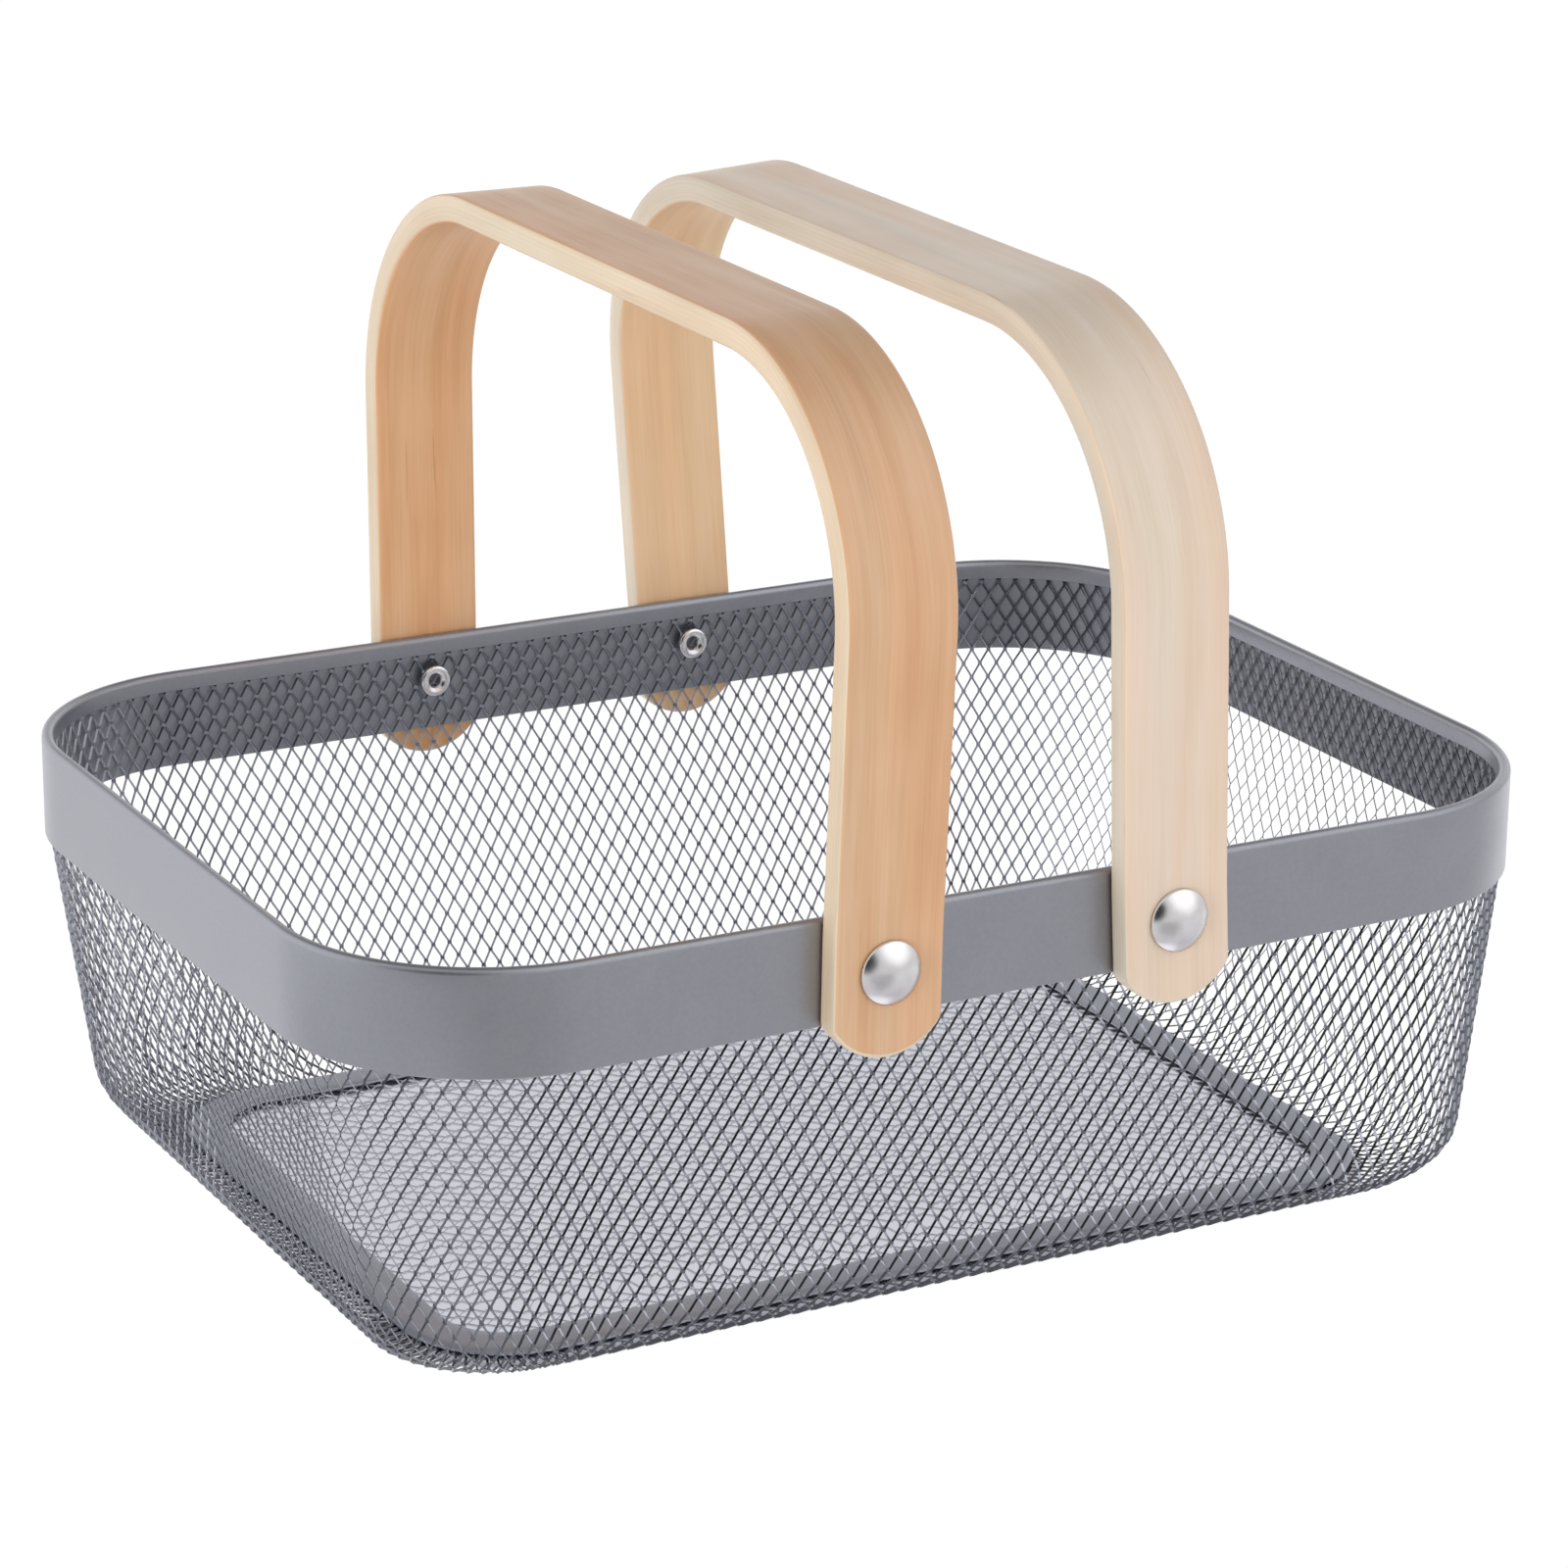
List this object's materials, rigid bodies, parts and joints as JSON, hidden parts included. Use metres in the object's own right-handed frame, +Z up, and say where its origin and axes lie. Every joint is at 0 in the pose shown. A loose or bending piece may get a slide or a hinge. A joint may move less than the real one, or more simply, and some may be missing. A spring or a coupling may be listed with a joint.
{
  "type": "wire produce basket",
  "caption": "Open-topped expanded-metal basket with a rounded rectangular rim band and folding bentwood carry handles on rivets.",
  "frame": {"origin": "centre of the bounding box's bottom face, on the surface the basket stands on", "axes": "+X along the basket's length, +Y from front to back across its width, +Z up; both handle pivots run along Y"},
  "size_m": [0.36, 0.2912, 0.2625],
  "materials": {
    "mesh_coat": "grey powder coat, satin",
    "band_coat": "grey powder coat, semi-gloss",
    "strip_coat": "grey powder coat, satin",
    "warm_wood": "honey-toned laminated wood, satin lacquer",
    "pale_wood": "pale laminated wood, satin lacquer",
    "nickel": "polished nickel plate"
  },
  "bodies": {
    "basket": {"mesh_bowl": "mesh_coat", "floor_mesh": "mesh_coat", "base_ring_upper": "strip_coat", "base_ring_lower": "strip_coat", "rim_band": "band_coat", "rivet_front_left": "nickel", "rivet_back_left": "nickel", "rivet_front_right": "nickel", "rivet_back_right": "nickel"},
    "left_handle": {"handle_left": "warm_wood"},
    "right_handle": {"handle_right": "pale_wood"}
  },
  "joints": [
    {"name": "left_handle_fold", "type": "hinge", "parent": "basket", "child": "left_handle", "pos_m": [-0.0424, 0, 0.1074], "axis": [0, -1, 0], "range_deg": [-9, 110.5]},
    {"name": "right_handle_fold", "type": "hinge", "parent": "basket", "child": "right_handle", "pos_m": [0.0424, 0, 0.1074], "axis": [0, 1, 0], "range_deg": [-6.1, 113.4]}
  ]
}
